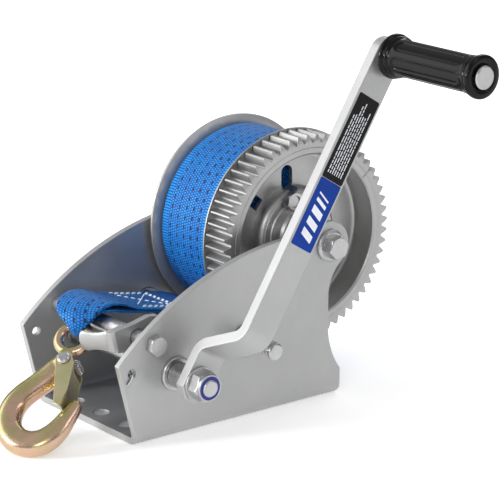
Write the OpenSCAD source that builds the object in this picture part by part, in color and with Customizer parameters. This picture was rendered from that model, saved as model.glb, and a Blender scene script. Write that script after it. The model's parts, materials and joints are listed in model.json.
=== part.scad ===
// Hand-cranked webbing winch for a boat trailer. Millimetres, +Z up.
// The drum axle lies along X with the crank on the +X side, and the strap leaves towards -Y.
// The origin is the middle of the underside of the frame's base.

/* [Frame] */
// Outside width of the channel frame
frame_w = 120; // [118:0.5:122]
// Thickness of the frame's steel sheet
sheet_t = 5; // [4:0.5:5]
// Length of the base, front to back
base_len = 176; // [174:1:180]
// Outside radius of the two bends beside the base
bend_r = 8; // [7:0.5:12]
// Radius of the holes that bolt the base down
mount_hole_r = 5.5; // [4:0.5:6.5]
// Distance between neighbouring mounting holes across the base
mount_dx = 30; // [24:1:34]
// Front row of mounting holes, measured from the origin
mount_front_y = -75; // [-76:1:-70]
// Rear row of mounting holes, measured from the origin
mount_rear_y = 65; // [55:1:75]
// Radius of the arched top edge of the side plates
arch_r = 218.7; // [216:0.1:220]

/* [Shafts] */
// Drum axle, distance behind the origin
drum_y = 77.5; // [76:0.5:79]
// Drum axle, height above the base's underside
drum_z = 110.5; // [109:0.5:112]
// Crank shaft, distance from the origin along Y
crank_y = -55; // [-56:0.5:-54]
// Crank shaft, height
crank_z = 45; // [44:0.5:46]
// Tie rod, distance from the origin along Y
tie_y = -72; // [-72.5:0.5:-71.5]
// Tie rod, height
tie_z = 68.5; // [68:0.5:69]
// Radius of the crank shaft and the layshaft
shaft_r = 7; // [6.5:0.1:7]
// Radius of the drum's axle bolt
axle_bolt_r = 6; // [5:0.5:6]
// Outside radius of the fixed sleeve that the drum turns on
sleeve_r = 9; // [8:0.5:9]
// Radius of the tie rod
tie_r = 6; // [5.5:0.1:6]
// Radial gap of every running fit
run_gap = 0.06; // [0.03:0.01:0.09]

/* [Gears] */
// Tooth module of both gear pairs
gear_m = 2.5; // [2.5]
// Pressure angle
gear_pa = 25; // [25]
// Teeth on the drum gear
drum_teeth = 57; // [57]
// Teeth on the layshaft pinion
lay_pinion_teeth = 16; // [16]
// Teeth on the layshaft gear
lay_gear_teeth = 34; // [34]
// Teeth on the crank pinion
crank_pinion_teeth = 14; // [14]
// Play between two teeth in mesh, measured along the pitch circle
backlash = 0.3; // [0.2:0.05:0.4]
// Teeth on the ratchet wheel
ratchet_teeth = 12; // [12]
// Tip radius of the ratchet wheel
ratchet_r = 18; // [18]

/* [Drum] */
// Width of the webbing
strap_w = 50; // [46:1:50]
// Radius of the webbing wound on the drum
roll_r = 66; // [60:1:66]
// Radius of the drum's left flange
flange_r = 73; // [70:0.5:74]
// Outside radius of the drum's core tube
core_r = 22; // [21:0.5:22]

/* [Crank] */
// Throw of the crank, from shaft to grip
crank_throw = 247; // [230:1:260]
// Lean of the crank arm, measured up from +Y
crank_angle = 57.9; // [50:0.1:65]
// Width of the crank arm's bar
arm_w = 23; // [21:0.5:24]
// Thickness of the crank arm's bar
arm_t = 8; // [7:0.5:8]
// Length of the grip
grip_len = 85; // [70:1:95]
// Radius of the grip's body
grip_r = 12.6; // [12:0.1:13]

/* [Hook] */
// Turn of the hook about the vertical
hook_yaw = 30; // [28:1:32]
// Angle at which the hook lies back from the floor
hook_tilt = 37.6; // [37:0.1:39]
// Radius of the middle of the hook's ring
ring_r = 11; // [10.5:0.1:11]
// Radius of the ring's bar
ring_bar_r = 3.5; // [3.4:0.1:3.5]
// Radius of the middle of the hook's bowl
bowl_r = 21; // [20:0.5:21]
// Radius of the bar round the bowl
bowl_bar_r = 8.5; // [8:0.1:8.5]
// Radius of the latch rivet
rivet_r = 2.5; // [2:0.1:3]

/* [Hidden] */

half_w = frame_w / 2;
inner_x = half_w - sheet_t;
half_base = base_len / 2;

// Positions in the Y-Z plane
drum_at = [drum_y, drum_z];
crank_at = [crank_y, crank_z];
tie_at = [tie_y, tie_z];

function pitch_r(teeth) = gear_m * teeth / 2;
// Where two circles meet, on the right of the line from a to b
function meet(a, ra, b, rb) =
    let (d = norm(b - a), u = (b - a) / d, s = (ra * ra - rb * rb + d * d) / (2 * d),
         h = sqrt(ra * ra - s * s))
    a + s * u + h * [u[1], -u[0]];
function bearing(a, b) = atan2(b[1] - a[1], b[0] - a[0]);

lay_at = meet(crank_at, pitch_r(crank_pinion_teeth) + pitch_r(lay_gear_teeth),
              drum_at, pitch_r(drum_teeth) + pitch_r(lay_pinion_teeth));

// Stations along X
roll_x0 = -44;
gear_x0 = 12;
gear_x1 = 36.8;
web_t = 4;
flange_x = -50;
flange_t = 3;
hub_x1 = 45;
lay_gear_x = 46;
lay_gear_t = 7.5;
arm_low_x = 78;
arm_high_x = 113;
arm_out_x = arm_high_x + arm_t;
grip_x = arm_out_x + 4;
clip_x = -half_w - 4.2;

// Radius that holes leave round a fastener which doesn't turn
loose = 0.3;
snug = 0.05;

steel = "silver";
zinc = "lightgray";
azure = "dodgerblue";
gold = "darkkhaki";

// Turns a shape drawn in X-Y and raised along Z into one drawn in Y-Z and raised along X
module along_x() rotate([90, 0, 90]) children();
module at_axis(p, x = 0) translate([x, p[0], p[1]]) along_x() children();
// A round bar or hole along X
module rod(p, r, x0, x1) at_axis(p, x0) cylinder(r = r, h = x1 - x0, $fn = 64);
// A washer or bush along X
module tube(p, r_out, r_in, x0, x1)
    difference() {
        rod(p, r_out, x0, x1);
        rod(p, r_in, x0 - 1, x1 + 1);
    }

// A hexagon with its far corners turned off, standing on Z = 0
module hex_body(across, h)
    intersection() {
        cylinder(r = across / sqrt(3), h = h, $fn = 6);
        rotate_extrude($fn = 64)
            polygon([[0, 0], [across, 0], [across, h - 0.37 * across], [across * 0.49, h], [0, h]]);
    }

// Involute tooth outline, with tooth 0 on the first axis
function inv(a) = tan(a) * 180 / PI - a;
function tooth_half(teeth, r) =
    let (rb = pitch_r(teeth) * cos(gear_pa), a = r > rb ? acos(rb / r) : 0)
    90 / teeth - backlash * 45 / (PI * pitch_r(teeth)) + inv(gear_pa) - inv(a);
function polar(r, a) = [r * cos(a), r * sin(a)];
function tooth_radii(teeth) =
    [for (step = [-1.25, -0.6, 0, 0.6, 1.15]) pitch_r(teeth) + step * gear_m];
module gear_2d(teeth) {
    radii = tooth_radii(teeth);
    top = len(radii) - 1;
    polygon([for (i = [0 : teeth - 1]) for (k = [0 : 2 * top + 1])
        let (r = k <= top ? radii[k] : radii[2 * top + 1 - k],
             side = k <= top ? -1 : 1)
        polar(r, i * 360 / teeth + side * tooth_half(teeth, r))]);
}
// A spur gear, its teeth turned down to the tip circle and their end corners turned off
module spur(teeth, width, turn) {
    tip = pitch_r(teeth) + gear_m;
    low = pitch_r(teeth) - gear_m;
    rotate(turn) intersection() {
        linear_extrude(width) gear_2d(teeth);
        rotate(180 / teeth) rotate_extrude($fn = 128)
            polygon([[0, 0], [low, 0], [tip, 1], [tip, width - 1], [low, width], [0, width]]);
    }
}

// ---------------------------------------------------------------- frame

// Cross-section of the folded sheet
module channel_2d(h) {
    for (side = [-1, 1]) mirror([side < 0 ? 1 : 0, 0]) {
        translate([half_w - sheet_t, bend_r]) square([sheet_t, h - bend_r]);
        translate([half_w - bend_r, bend_r]) intersection() {
            difference() {
                circle(r = bend_r, $fn = 64);
                circle(r = bend_r - sheet_t, $fn = 64);
            }
            translate([0, -bend_r]) square(bend_r);
        }
    }
    translate([bend_r - half_w, 0]) square([frame_w - 2 * bend_r, sheet_t]);
}

// Outline of a side plate: an arch, a round lobe behind the drum axle and a hollow rear edge
arch_c = [52.9, -96.7];
lobe_r = 17;
front_lean = 13.6;
waist_c = [131.5, 52];
waist_r = 54.5;
waist_y = waist_c[0] - waist_r;
blend_top_r = 62;
blend_rear_r = 30;
module side_plate_2d() {
    top_c = meet(drum_at, lobe_r + blend_top_r, arch_c, arch_r + blend_top_r);
    rear_z = drum_z - sqrt(pow(lobe_r + blend_rear_r, 2) - pow(waist_y + blend_rear_r - drum_y, 2));
    rear_c = [waist_y + blend_rear_r, rear_z];
    intersection() {
        translate(arch_c) circle(r = arch_r, $fn = 256);
        polygon([[-half_base, 0], [-half_base, sheet_t], [-half_base - 2 * front_lean, 115],
                 [-half_base, 150], [60, 150], [waist_y, drum_z], [waist_y, waist_c[1]],
                 [waist_y, 0]]);
    }
    difference() {
        translate([waist_y - 10, 0]) square([half_base - waist_y + 10, waist_c[1]]);
        translate(waist_c) circle(r = waist_r, $fn = 128);
    }
    translate(drum_at) circle(r = lobe_r, $fn = 96);
    difference() {
        polygon([drum_at, drum_at + (top_c - drum_at) * 0.6, top_c,
                 top_c - (top_c - arch_c) * 0.25, [40, drum_z]]);
        translate(top_c) circle(r = blend_top_r, $fn = 128);
    }
    difference() {
        polygon([[waist_y - 5, rear_z], rear_c, drum_at, [waist_y - 5, drum_z]]);
        translate(rear_c) circle(r = blend_rear_r, $fn = 96);
    }
}

module frame_channel() color(zinc) difference() {
    intersection() {
        translate([0, 120, 0]) rotate([90, 0, 0]) linear_extrude(260) channel_2d(160);
        at_axis([0, 0], -half_w - 1) linear_extrude(frame_w + 2) side_plate_2d();
    }
    for (x = [-1, 0, 1]) for (y = [mount_front_y, mount_rear_y])
        translate([x * mount_dx, y, -1]) cylinder(r = mount_hole_r, h = sheet_t + 2, $fn = 48);
    rod(drum_at, axle_bolt_r + loose, -half_w - 1, half_w + 1);
    rod(tie_at, 4 + loose, -half_w - 1, half_w + 1);
    rod(crank_at, bush_r + snug, -half_w - 1, half_w + 1);
    rod(lay_at, bush_r + snug, -half_w - 1, half_w + 1);
    rod(spring_hole, 3, -half_w - 1, half_w + 1);
}

// ---------------------------------------------------------------- fixed shafts and bushes

bush_r = 9.5;
bush_flange_r = 12;
spring_hole = [-90.4, 52];

module tie_rod() color(steel) difference() {
    rod(tie_at, tie_r, -inner_x, inner_x);
    for (side = [-1, 1])
        rod(tie_at, 4 + snug, side > 0 ? inner_x - 22 : -inner_x - 1, side > 0 ? inner_x + 1 : 22 - inner_x);
}

module tie_rod_bolts() color(steel) for (turn = [0, 180])
    translate([0, tie_y, tie_z]) rotate([0, 0, turn]) along_x() {
        translate([0, 0, inner_x - 20]) cylinder(r = 4, h = sheet_t + 20.5, $fn = 48);
        translate([0, 0, half_w]) rotate(15) hex_body(13, 5.8);
    }

module drum_axle_bolt() color(steel) at_axis(drum_at) {
    translate([0, 0, -half_w - 15]) cylinder(r = axle_bolt_r, h = frame_w + 16, $fn = 64);
    translate([0, 0, half_w]) rotate_extrude($fn = 96)
        polygon([[0, 0], [11.4, 0], [11.4, 1.6], [9.8, 3.2], [0, 3.2]]);
    translate([0, 0, half_w + 3]) rotate(12) hex_body(15, 8);
}

module axle_washer() color(steel) tube(drum_at, 12, axle_bolt_r + snug, -half_w - 2.2, -half_w);

module drum_axle_nut() color(steel) difference() {
    translate([-half_w - 2.2, drum_y, drum_z]) rotate([0, 0, 180]) along_x() hex_body(19, 10.5);
    rod(drum_at, axle_bolt_r + snug, -half_w - 14, -half_w);
}

module axle_sleeve() color(steel) tube(drum_at, sleeve_r, axle_bolt_r + snug, -inner_x, inner_x);

// A flanged bush in each plate
module shaft_bushes(p) for (turn = [0, 180])
    translate([0, p[0], p[1]]) rotate([0, 0, turn]) along_x() difference() {
        union() {
            translate([0, 0, inner_x - 0.8]) cylinder(r = bush_r, h = sheet_t + 2, $fn = 64);
            translate([0, 0, half_w + 0.02]) rotate_extrude($fn = 96)
                polygon([[0, 0], [bush_flange_r, 0], [bush_flange_r, 1.7], [bush_flange_r - 0.9, 2.5],
                         [0, 2.5]]);
        }
        translate([0, 0, inner_x - 2]) cylinder(r = shaft_r + run_gap, h = sheet_t + 8, $fn = 64);
    }
module crank_shaft_bushes() color(steel) shaft_bushes(crank_at);
module layshaft_bushes() color(steel) shaft_bushes(lay_at);

// ---------------------------------------------------------------- ratchet and pawl

module ratchet_2d() {
    pitch = 360 / ratchet_teeth;
    rotate(pitch / 2) circle(r = 13.8, $fn = 96);
    for (i = [0 : ratchet_teeth - 1]) rotate(i * pitch)
        translate([0, -1.7]) square([ratchet_r, 3.4]);
}
module ratchet_wheel() color(steel) difference() {
    at_axis(crank_at, 34) rotate(bearing(crank_at, tie_at)) linear_extrude(8) ratchet_2d();
    rod(crank_at, shaft_r + 0.02, 30, 46);
}

// The pawl swings this far either way from neutral to drop a claw into the ratchet
pawl_swing = 12;
claw_spread = 45;
claw_tip_r = 14.9;
pawl_x = 35.5;
pawl_t = 5;
// One claw in the frame of the pivot, whose first axis points at the ratchet's axis
module claw_2d(side) {
    reach = norm(crank_at - tie_at);
    rotate(side * pawl_swing) translate([reach, 0]) rotate(180 - side * claw_spread)
        polygon([[claw_tip_r, -1.1], [claw_tip_r, 1.1], [22, 2.8], [22, -2.8]]);
}
module pawl_side_2d() {
    reach = norm(crank_at - tie_at);
    difference() {
        union() {
            circle(r = 10.5, $fn = 64);
            rotate(bearing(tie_at, crank_at))
                polygon([[0, -10.4], [9.4, -18.4], [14.6, -14], [14.6, 14], [9.4, 18.4], [0, 10.4]]);
            // Horn behind the pivot and neck towards the paddle
            polygon([[-2, 10.3], [10, 13.2], [17.5, 12.4], [18, 9.4], [10, 6], [8, 2]]);
            polygon([[0, 10.5], [-14.5, 8.5], [-16, -8], [-5, -9.2]]);
        }
        circle(r = tie_r + run_gap, $fn = 64);
        // Room for the ratchet's teeth at both ends of the swing
        rotate(bearing(tie_at, crank_at)) for (side = [-1, 1]) rotate(side * pawl_swing)
            translate([reach, 0]) circle(r = ratchet_r + 0.7, $fn = 96);
    }
    rotate(bearing(tie_at, crank_at)) for (side = [-1, 1]) claw_2d(side);
}
module ratchet_pawl() color(steel) {
    at_axis(tie_at, pawl_x) linear_extrude(pawl_t) pawl_side_2d();
    // Paddle bent across in front of the plate
    translate([0, tie_y - 14, tie_z + 1]) rotate([14, 0, 0]) difference() {
        translate([0, 0, -7.5]) linear_extrude(15) paddle_plan_2d();
        for (z = [-1, 1]) translate([paddle_tip_x, -9.5, z * 7.5]) paddle_corner(z);
    }
}
paddle_tip_x = 15;
module paddle_plan_2d()
    polygon([[pawl_x + pawl_t, 1], [pawl_x + pawl_t, -3], [pawl_x + pawl_t - 1.5, -5.5],
             [pawl_x + pawl_t - 4, -7.2], [paddle_tip_x + 2, -15.8], [paddle_tip_x, -12.4],
             [pawl_x - 1.6, -2.6], [pawl_x, -1], [pawl_x, 1]]);
// Rounds one corner of the paddle's free end
module paddle_corner(side) rotate([90, 0, 0]) translate([0, 0, -5]) difference() {
    translate([-5, side > 0 ? -4 : -5, 0]) cube([9, 9, 20]);
    translate([4.5, -side * 4.5, -1]) cylinder(r = 4.5, h = 22, $fn = 48);
    translate([4.5, -9, -1]) cube([9, 18, 22]);
}

// Bent wire that holds the pawl over to either side
wire_r = 0.9;
module wire(points) for (i = [0 : len(points) - 2]) hull() {
    translate(points[i]) sphere(r = wire_r, $fn = 10);
    translate(points[i + 1]) sphere(r = wire_r, $fn = 10);
}
module pawl_spring() color(steel)
    wire([[half_w + 1.2, -93.5, 46], [half_w + 1.2, spring_hole[0], spring_hole[1]],
          [46, spring_hole[0], spring_hole[1]], [42.2, -84, 55], [42.2, -79, 60.5]]);

// ---------------------------------------------------------------- crank

// Shaft section with two flats for the crank arm
module flat_shaft_2d(grow) intersection() {
    circle(r = shaft_r - 0.3 + grow, $fn = 64);
    square([2 * (6.1 + grow), 40], center = true);
}

module crank_shaft() color(steel) {
    rod(crank_at, shaft_r, clip_x - 2.2, arm_low_x);
    at_axis(crank_at, arm_low_x) rotate(crank_angle) linear_extrude(arm_t) flat_shaft_2d(0);
    at_axis(crank_at, arm_low_x + arm_t) cylinder(r = 6, h = 12.6, $fn = 64);
    at_axis(crank_at, arm_low_x + arm_t + 12.6) rotate_extrude($fn = 64)
        polygon([[0, 0], [6, 0], [5, 1], [0, 1]]);
}

module crank_pinion() color(steel) difference() {
    at_axis(crank_at, 45) spur(crank_pinion_teeth, 9,
        bearing(crank_at, lay_at) + 180 / crank_pinion_teeth);
    rod(crank_at, shaft_r + 0.02, 40, 60);
}

module crank_spacer() color(steel) tube(crank_at, 8.8, shaft_r + 0.02, half_w + 2.8, arm_low_x);

// Spring clip beyond the left bush
module shaft_clip(p) difference() {
    tube(p, 10.2, shaft_r + 0.02, clip_x, clip_x + 1.5);
    at_axis(p, clip_x - 1) translate([-3.2, 0, 0]) cube([6.4, 14, 4]);
}
module crank_shaft_clip() color(steel) shaft_clip(crank_at);
module layshaft_clip() color(steel) shaft_clip(lay_at);

// Middle line of the arm's double bend, as [distance up the arm, X]
bend_turn = 65;
bend_mid_r = 10;
bend_start = 17;
function bend_points(r_first, r_second) =
    let (rise = arm_high_x - arm_low_x,
         run = (rise - 2 * bend_mid_r * (1 - cos(bend_turn))) / sin(bend_turn),
         mid = [bend_start + bend_mid_r * sin(bend_turn), bend_mid_r * (1 - cos(bend_turn))]
             + run * [cos(bend_turn), sin(bend_turn)],
         c1 = [bend_start, bend_mid_r],
         c2 = mid + bend_mid_r * [sin(bend_turn), -cos(bend_turn)])
    concat([for (i = [0 : 6]) c1 + r_first * [sin(i * bend_turn / 6), -cos(i * bend_turn / 6)]],
           [for (i = [6 : -1 : 0]) c2 + r_second * [-sin(i * bend_turn / 6), cos(i * bend_turn / 6)]]);
module arm_side_2d() {
    low = bend_points(bend_mid_r + arm_t / 2, bend_mid_r - arm_t / 2);
    high = bend_points(bend_mid_r - arm_t / 2, bend_mid_r + arm_t / 2);
    mid_low = -arm_t / 2;
    rise = arm_high_x - arm_low_x;
    translate([0, arm_low_x + arm_t / 2]) polygon(concat(
        [[-17, mid_low]], low, [[crank_throw + 20, rise + mid_low]],
        [[crank_throw + 20, rise - mid_low]],
        [for (i = [len(high) - 1 : -1 : 0]) high[i]], [[-17, -mid_low]]));
}

// Length of the arm past the crank shaft's axis, and the bevel at its two corners
arm_end = 13.5;
arm_corner = 7;
module crank_arm() color(zinc) difference() {
    intersection() {
        translate([0, crank_y, crank_z]) rotate([crank_angle, 0, 0]) rotate([180, 0, 90])
            linear_extrude(arm_w, center = true) arm_side_2d();
        at_axis(crank_at, arm_low_x - 1) rotate(crank_angle) linear_extrude(50) {
            polygon([[-arm_end, -arm_w / 2 + arm_corner], [-arm_end + arm_corner, -arm_w / 2],
                     [crank_throw, -arm_w / 2], [crank_throw, arm_w / 2],
                     [-arm_end + arm_corner, arm_w / 2], [-arm_end, arm_w / 2 - arm_corner]]);
            translate([crank_throw, 0]) circle(r = arm_w / 2, $fn = 96);
        }
    }
    at_axis(crank_at, arm_low_x - 1) rotate(crank_angle) linear_extrude(arm_t + 2) flat_shaft_2d(snug);
    rod(grip_at, 5 + snug, arm_high_x - 1, arm_out_x + 1);
}

module crank_washer() color(steel)
    tube(crank_at, 11.8, 6 + snug, arm_low_x + arm_t, arm_low_x + arm_t + 1.8);

nut_x = arm_low_x + arm_t + 1.8;
module crank_lock_nut() color(steel) difference() {
    at_axis(crank_at, nut_x) rotate(8) union() {
        hex_body(19, 8.6);
        cylinder(r = 9.1, h = 10.4, $fn = 64);
    }
    rod(crank_at, 6 + snug, nut_x - 1, nut_x + 12);
    rod(crank_at, 8.05, nut_x + 8, nut_x + 12);
}
module lock_nut_insert() color("royalblue") tube(crank_at, 8, 6 + snug, nut_x + 8.1, nut_x + 10.2);

// Sticker on the arm's outer face: a dark field above a coloured one
module arm_label() for (field = [[107, 155, "mediumblue"], [155.3, 216, "darkslategray"]])
    color(field[2]) at_axis(crank_at, arm_out_x) rotate(crank_angle)
        translate([field[0], -9.75, 0]) cube([field[1] - field[0], 19.5, 0.25]);

// ---------------------------------------------------------------- grip

grip_at = crank_at + polar(crank_throw, crank_angle);
pin_r = 5;

module grip_pin() color(steel) {
    rod(grip_at, pin_r, arm_high_x - 0.1, grip_x + grip_len + 0.4);
    at_axis(grip_at, arm_high_x - 3) rotate_extrude($fn = 64)
        polygon([[0, 0], [6.5, 0], [8, 1.6], [8, 3], [0, 3]]);
    at_axis(grip_at, grip_x + grip_len + 0.4) rotate_extrude($fn = 96)
        polygon([[0, 0], [7.8, 0], [7.8, 1], [7, 1.8], [0, 1.8]]);
}
module grip_washer() color(steel) tube(grip_at, 10, pin_r + snug, arm_out_x, arm_out_x + 1.8);

// Hollow handle with a flange at both ends and long ribs
module grip() color("dimgray") difference() {
    at_axis(grip_at, grip_x) difference() {
        rotate_extrude($fn = 128)
            polygon([[0, 0], [14.3, 0], [15, 0.8], [15, 2.6], [14.2, 3.6], [grip_r, 5.2],
                     [grip_r, grip_len - 6], [14.3, grip_len - 4], [14.3, grip_len - 0.8],
                     [13.5, grip_len], [0, grip_len]]);
        for (i = [0 : 7]) rotate(i * 45 + 10) for (edge = [-7.5, 7.5]) rotate(edge)
            translate([grip_r + 0.6, 0, 9]) cylinder(r = 1.2, h = grip_len - 20, $fn = 24);
    }
    rod(grip_at, pin_r + run_gap, grip_x - 1, grip_x + grip_len + 1);
}

// ---------------------------------------------------------------- layshaft

module layshaft() color(steel) {
    rod(lay_at, shaft_r, clip_x - 2.2, half_w + 6);
    at_axis(lay_at, half_w + 6) rotate(crank_angle) linear_extrude(14) flat_shaft_2d(0);
    rod(lay_at, 6, half_w + 20, half_w + 33);
    at_axis(lay_at, half_w + 33) rotate_extrude($fn = 64) polygon([[0, 0], [6, 0], [5, 1], [0, 1]]);
}

module layshaft_pinion() color(steel) difference() {
    at_axis(lay_at, 14.6) spur(lay_pinion_teeth, 22,
        bearing(lay_at, drum_at) + 180 / lay_pinion_teeth);
    rod(lay_at, shaft_r + 0.02, 10, 40);
}

module layshaft_gear() color(steel) difference() {
    union() {
        at_axis(lay_at, lay_gear_x) spur(lay_gear_teeth, lay_gear_t, bearing(lay_at, crank_at));
        rod(lay_at, 13, 37.4, lay_gear_x + 1);
    }
    rod(lay_at, shaft_r + 0.02, 30, 60);
    // Shallow dish in each face of the web
    for (x = [lay_gear_x - 1, lay_gear_x + lay_gear_t - 1.2])
        tube(lay_at, 34, 15, x, x + 2.2);
}

// ---------------------------------------------------------------- drum

// Cast drum gear: flange beside the strap, toothed rim, web and hub
rim_in = 59.5;
// Radius of the turned lip that stands proud of the teeth's end faces, and by how much
lip_r = 64.5;
lip_h = 0.3;
module drum_gear_casting() {
    web_x = gear_x0 + web_t;
    rotate_extrude($fn = 180) union() {
        polygon([[14, gear_x0], [73.7, gear_x0], [74.5, gear_x0 + 0.8], [74.5, gear_x0 + 2],
                 [lip_r, gear_x0 + 2], [lip_r, gear_x1], [rim_in + 1.4, gear_x1],
                 [rim_in, gear_x1 - 1.4],
                 [rim_in, web_x + 4.5], [rim_in - 1.5, web_x + 1.5], [rim_in - 4.5, web_x],
                 [34, web_x], [14, web_x]]);
        polygon([[11, gear_x0], [14.1, gear_x0], [14.1, gear_x0 + 1], [33.9, web_x - 1], [33.9, 20],
                 [30, 26], [27.4, 26], [27.4, 24.6], [26.2, 24.6], [26.2, 26], [25.2, 27], [18.5, 27],
                 [16.5, 29], [16.5, hub_x1 - 1.5], [15, hub_x1], [11, hub_x1]]);
        translate([28, 20]) circle(r = 6, $fn = 48);
    }
}
module drum_gear() color(zinc) difference() {
    at_axis(drum_at) union() {
        drum_gear_casting();
        translate([0, 0, gear_x0 + 1.9]) difference() {
            spur(drum_teeth, gear_x1 - lip_h - gear_x0 - 1.9, bearing(drum_at, lay_at));
            translate([0, 0, -1]) cylinder(r = lip_r - 1, h = 40, $fn = 128);
        }
    }
    rod(drum_at, 11, 0, 60);
    at_axis(drum_at, 0) {
        translate(anchor_rel) cylinder(r = 4 + loose, h = 60, $fn = 48);
        translate([-31, 26.5, 0]) rotate(50) cube([9, 9, 60], center = true);
        translate([-3, 36, 0]) cylinder(r = 4.75, h = 40, $fn = 48);
        translate([-3, 44, 0]) cylinder(r = 4.75, h = 40, $fn = 48);
        translate([-7.75, 36, 0]) cube([9.5, 8, 40]);
        // Shallow timing marks across the end face, each in a tooth gap
        for (half = [0, 180 - 180 / drum_teeth])
            rotate(bearing(drum_at, lay_at) + 180 / drum_teeth + half)
                translate([rim_in - 2, -0.4, gear_x1 - 0.7]) cube([14, 0.8, 2]);
    }
}

anchor_rel = [-8.5, 26.7];

module drum_left_flange() color(zinc) difference() {
    at_axis(drum_at) rotate_extrude($fn = 180)
        polygon([[11, flange_x], [68, flange_x], [flange_r - 0.6, flange_x - 1.6],
                 [flange_r, flange_x - 1], [flange_r, flange_x + 0.6], [68, flange_x + flange_t],
                 [18.5, flange_x + flange_t], [18.5, flange_x + flange_t + 12],
                 [11, flange_x + flange_t + 12]]);
    at_axis(drum_at, flange_x - 2) translate(anchor_rel) cylinder(r = 4 + loose, h = 10, $fn = 48);
}

module drum_core() color(steel) tube(drum_at, core_r, 18.7, flange_x + flange_t, gear_x0);

module drum_bushes() color("ivory") {
    for (part = [[-inner_x + 0.4, flange_x, flange_x + flange_t + 12], [inner_x - 0.4, hub_x1, 20]]) {
        x_out = part[0];
        tube(drum_at, 14, sleeve_r + run_gap, min(x_out, part[1]), max(x_out, part[1]));
        tube(drum_at, 10.98, sleeve_r + run_gap, min(part[1], part[2]), max(part[1], part[2]));
    }
}

module strap_wound() color(azure) difference() {
    tube(drum_at, roll_r, core_r + 0.3, roll_x0, roll_x0 + strap_w);
    at_axis(drum_at, roll_x0 - 1) translate(anchor_rel) cylinder(r = 4.3, h = strap_w + 2, $fn = 48);
}

module strap_anchor_bolt() color(steel) at_axis(drum_at + anchor_rel) {
    translate([0, 0, flange_x - 0.1]) cylinder(r = 4, h = 82, $fn = 48);
    translate([0, 0, flange_x - 2.2]) cylinder(r = 6.4, h = 2.2, $fn = 48);
}
module strap_anchor_nut() color(steel) difference() {
    at_axis(drum_at + anchor_rel, 27) rotate(20) hex_body(13, 6.2);
    rod(drum_at + anchor_rel, 4 + snug, 20, 40);
}

// ---------------------------------------------------------------- strap lead

// Middle line of the free strap: [X, Y, Z, half width, half thickness, turn of its width about Z]
strap_mid_x = roll_x0 + strap_w / 2;
lead_points = [
    [strap_mid_x, 53.0, 47.4, 25, 0.7, 0], [strap_mid_x, 30.0, 56.6, 25, 0.7, 0],
    [strap_mid_x, 12.0, 63.6, 25, 0.7, 0], [strap_mid_x, 4.0, 65.9, 25, 0.7, 0],
    [strap_mid_x, -8.0, 67.6, 25, 0.8, 0], [strap_mid_x, -30.0, 71.4, 25, 0.8, 0],
    [strap_mid_x, -44.0, 74.3, 25, 0.8, 0], [strap_mid_x, -52.0, 76.8, 25, 0.8, 2],
    [-18.6, -60.0, 79.8, 25, 0.8, 5], [-17.6, -68.0, 81.8, 24.5, 0.8, 9],
    [-15.6, -76.0, 81.8, 22.5, 0.8, 14], [-12.4, -83.0, 80.2, 19, 0.9, 19],
    [-8.6, -88.2, 77.4, 13, 1.0, 24], [-5.2, -91.2, 73.4, 7.2, 1.1, 28],
    [-4.0, -92.0, 68.2, 4.7, 1.2, 30], [-4.5, -91.1, 63.1, 4.3, 1.2, 30],
    [-6.5, -87.8, 60.4, 4.6, 1.0, 30], [-8.4, -84.4, 60.7, 5.2, 0.9, 28],
    [-9.7, -82.2, 63.5, 6, 0.7, 22], [-10.3, -80.4, 67.6, 6.5, 0.7, 12],
    [-11.6, -79.6, 72.6, 11, 0.7, 8], [-13.4, -76.8, 75.6, 17, 0.7, 4],
    [-15.6, -71.0, 76.4, 21, 0.7, 0], [-17.6, -62.0, 75.6, 24, 0.7, 0],
    [-18.6, -52.0, 73.4, 24.5, 0.7, 0], [strap_mid_x, -42.0, 71.7, 25, 0.7, 0],
    [strap_mid_x, -28.0, 69.2, 25, 0.7, 0], [strap_mid_x, -6.0, 65.6, 25, 0.7, 0]];

function unit(v) = v / norm(v);
function spine(i) = [lead_points[i][0], lead_points[i][1], lead_points[i][2]];
function heading(i) = let (n = len(lead_points) - 1)
    unit(spine(min(i + 1, n)) - spine(max(i - 1, 0)));
function strap_ring(i) =
    let (p = lead_points[i], w = [cos(p[5]), sin(p[5]), 0], n = unit(cross(heading(i), w)))
    [for (c = [[-1, -1], [1, -1], [1, 1], [-1, 1]]) spine(i) + c[0] * p[3] * w + c[1] * p[4] * n];
module strap_lead() color(azure) {
    n = len(lead_points);
    polyhedron(
        points = [for (i = [0 : n - 1]) each strap_ring(i)],
        faces = concat(
            [[0, 1, 2, 3], [for (k = [3 : -1 : 0]) 4 * (n - 1) + k]],
            [for (i = [0 : n - 2]) for (k = [0 : 3]) for (half = [0, 1])
                let (a = 4 * i + k, b = 4 * i + (k + 1) % 4)
                half == 0 ? [a, a + 4, b] : [b, a + 4, b + 4]]));
}

// ---------------------------------------------------------------- hook and latch

// The hook swings on the bar of its ring, which the strap passes round at this point
hook_pivot = [-7.4, -86.2, 67.5];
// The hook's own frame: first axis along the swing axis, second up the shank, origin in the ring
module in_hook() translate(hook_pivot) rotate([hook_tilt, 0, hook_yaw])
    translate([0, -ring_r, 0]) children();

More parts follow.
